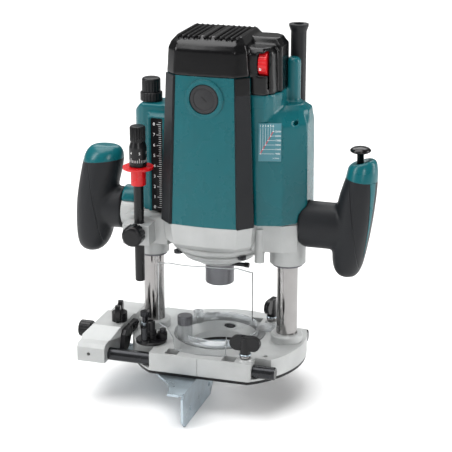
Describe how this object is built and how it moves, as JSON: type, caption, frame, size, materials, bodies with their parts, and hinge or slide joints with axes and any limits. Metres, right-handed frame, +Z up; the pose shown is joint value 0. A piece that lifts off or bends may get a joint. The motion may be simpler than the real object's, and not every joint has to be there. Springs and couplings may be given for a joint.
{
  "type": "plunge router",
  "caption": "Plunge router with side grips, round base on steel posts, depth turret and pole, clear chip guard, clear collar and a straight guide.",
  "frame": {"origin": "on the spindle axis, at the underside of the sole", "axes": "+Z up along the spindle, -Y to the front where the flat of the base is, +X to the right seen from the front"},
  "size_m": [0.2939, 0.214, 0.353],
  "materials": {
    "cast_silver": "fine silver paint on a casting",
    "sole_black": "smooth",
    "bright_steel": "ground and hard chromed",
    "zinc_steel": "bright zinc plate",
    "dark_steel": "dark oiled steel",
    "clear_plastic": "clear moulded plastic",
    "black_plastic": "fine grain",
    "black_gloss": "polished",
    "dark_rubber": "soft matte",
    "teal_plastic": "satin moulded",
    "red_plastic": "satin moulded",
    "tool_steel": "turned",
    "core_steel": "laminated",
    "copper": "turned",
    "carbon": "pressed"
  },
  "bodies": {
    "base": {"base_casting": "cast_silver", "sole_plate": "sole_black", "sole_screws": "zinc_steel", "post_left": "bright_steel", "post_right": "bright_steel", "spring_left": "dark_steel", "spring_right": "dark_steel", "limit_rod": "dark_steel", "chip_guard": "clear_plastic", "chip_collar": "clear_plastic", "turret_screw": "zinc_steel"},
    "limit_knob": {"limit_knob": "black_plastic"},
    "limit_ring": {"limit_lock_ring": "black_plastic"},
    "turret": {"stopper_turret": "black_plastic", "stop_bolts": "zinc_steel"},
    "collar_screw": {"collar_screw": "tool_steel"},
    "front_clamp": {"front_clamp_bolt": "black_plastic"},
    "rear_clamp": {"rear_clamp_bolt": "black_plastic"},
    "holder": {"guide_rods": "dark_steel", "guide_holder": "cast_silver", "holder_arm": "black_plastic"},
    "holder_nut": {"holder_wing_nut": "black_plastic"},
    "adjust_knob": {"fine_adjust_knob": "black_plastic"},
    "fence": {"guide_slider": "black_plastic", "fence_plate": "zinc_steel"},
    "motor": {"motor_bracket": "cast_silver", "post_scrapers": "black_plastic", "bracket_screws": "zinc_steel", "motor_housing": "teal_plastic", "brush_caps": "black_plastic", "brushes": "carbon", "corner_strips": "dark_rubber", "top_cover": "black_gloss", "right_column_cover": "teal_plastic", "cord_guard": "dark_rubber", "left_column_cover": "teal_plastic", "depth_scale": "black_plastic", "stator": "core_steel", "bearing_retainer": "black_plastic", "bearings": "tool_steel", "left_grip": "dark_rubber", "left_handle_cap": "teal_plastic", "right_grip": "dark_rubber", "right_handle_cap": "teal_plastic"},
    "dial": {"speed_dial": "red_plastic"},
    "trigger": {"switch_trigger": "black_plastic"},
    "lock_off": {"lock_off_button": "black_plastic"},
    "pole": {"stopper_pole": "black_plastic"},
    "pole_knob": {"pole_knob": "black_plastic"},
    "pointer": {"depth_pointer": "red_plastic"},
    "pole_clamp": {"pole_clamp_knob": "black_plastic"},
    "lever": {"lock_lever": "black_plastic"},
    "shaft_lock": {"shaft_lock_button": "black_plastic"},
    "spindle": {"armature_shaft": "tool_steel", "rotor_core": "core_steel", "commutator": "copper", "cooling_fan": "black_plastic", "collet_cone": "tool_steel", "shaft_collar": "black_plastic"},
    "collet_nut": {"collet_nut": "tool_steel"}
  },
  "joints": [
    {"name": "plunge", "type": "slide", "parent": "base", "child": "motor", "axis": [0, 0, 1], "range_m": [-0.031, 0], "stiffness_N_per_m": 1200, "springref_m": 0.06, "deforming": ["spring_left", "spring_right"]},
    {"name": "limit_knob_turn", "type": "hinge", "parent": "base", "child": "limit_knob", "pos_m": [-0.0665, 0, 0.26], "axis": [0, 0, 1], "continuous": true},
    {"name": "limit_ring_turn", "type": "hinge", "parent": "base", "child": "limit_ring", "pos_m": [-0.0665, 0, 0.25], "axis": [0, 0, 1], "continuous": true},
    {"name": "turret_turn", "type": "hinge", "parent": "base", "child": "turret", "pos_m": [-0.0546, -0.044, 0.023], "axis": [0, 0, 1], "range_deg": [-110, 150]},
    {"name": "collar_screw_turn", "type": "hinge", "parent": "base", "child": "collar_screw", "pos_m": [-0.0265, -0.026, 0.04], "axis": [0, 0, 1], "continuous": true},
    {"name": "front_clamp_turn", "type": "hinge", "parent": "base", "child": "front_clamp", "pos_m": [0.043, -0.06, 0.03], "axis": [0, 0, 1], "continuous": true},
    {"name": "rear_clamp_turn", "type": "hinge", "parent": "base", "child": "rear_clamp", "pos_m": [0.0414, 0.038, 0.03], "axis": [0, 0, 1], "continuous": true},
    {"name": "guide_slide", "type": "slide", "parent": "base", "child": "holder", "axis": [1, 0, 0], "range_m": [-0.08, 0]},
    {"name": "holder_nut_turn", "type": "hinge", "parent": "holder", "child": "holder_nut", "pos_m": [-0.09, -0.034, 0.036], "axis": [0, 0, 1], "continuous": true},
    {"name": "fence_slide", "type": "slide", "parent": "holder", "child": "fence", "axis": [1, 0, 0], "range_m": [-0.006, 0.006]},
    {"name": "adjust_turn", "type": "hinge", "parent": "holder", "child": "adjust_knob", "pos_m": [-0.13, -0.025, 0.0188], "axis": [1, 0, 0], "range_deg": [-1450, 1450]},
    {"name": "dial_turn", "type": "hinge", "parent": "motor", "child": "dial", "pos_m": [0.0487, -0.02, 0.2915], "axis": [1, 0, 0], "range_deg": [0, 270]},
    {"name": "trigger_pull", "type": "slide", "parent": "motor", "child": "trigger", "axis": [0, 1, 0], "range_m": [-0.004, 0], "stiffness_N_per_m": 800, "springref_m": 0.004},
    {"name": "lock_off_push", "type": "slide", "parent": "motor", "child": "lock_off", "axis": [0, 0, 1], "range_m": [-0.004, 0], "stiffness_N_per_m": 500, "springref_m": 0.003},
    {"name": "pole_slide", "type": "slide", "parent": "motor", "child": "pole", "axis": [0, 0, 1], "range_m": [0, 0.045]},
    {"name": "pole_knob_turn", "type": "hinge", "parent": "pole", "child": "pole_knob", "pos_m": [-0.0667, -0.038, 0.2], "axis": [0, 0, 1], "continuous": true},
    {"name": "pointer_slide", "type": "slide", "parent": "pole", "child": "pointer", "axis": [0, 0, 1], "range_m": [-0.036, 0]},
    {"name": "pole_clamp_turn", "type": "hinge", "parent": "motor", "child": "pole_clamp", "pos_m": [-0.0667, -0.055, 0.1295], "axis": [0, 1, 0], "range_deg": [0, 360]},
    {"name": "lock_lever_turn", "type": "hinge", "parent": "motor", "child": "lever", "pos_m": [-0.0685, 0.03, 0.129], "axis": [0, 1, 0], "range_deg": [-5, 40]},
    {"name": "shaft_lock_push", "type": "slide", "parent": "motor", "child": "shaft_lock", "axis": [1, 0, 0], "range_m": [-0.0027, 0], "stiffness_N_per_m": 500, "springref_m": 0.003},
    {"name": "spindle_spin", "type": "hinge", "parent": "motor", "child": "spindle", "pos_m": [0, 0, 0.2], "axis": [0, 0, 1], "continuous": true},
    {"name": "collet_nut_turn", "type": "hinge", "parent": "spindle", "child": "collet_nut", "pos_m": [0, 0, 0.08], "axis": [0, 0, 1], "continuous": true}
  ],
  "couplings": [
    {"joint": "adjust_turn", "follows": "fence_slide", "rad_per_m": 4188.8}
  ]
}
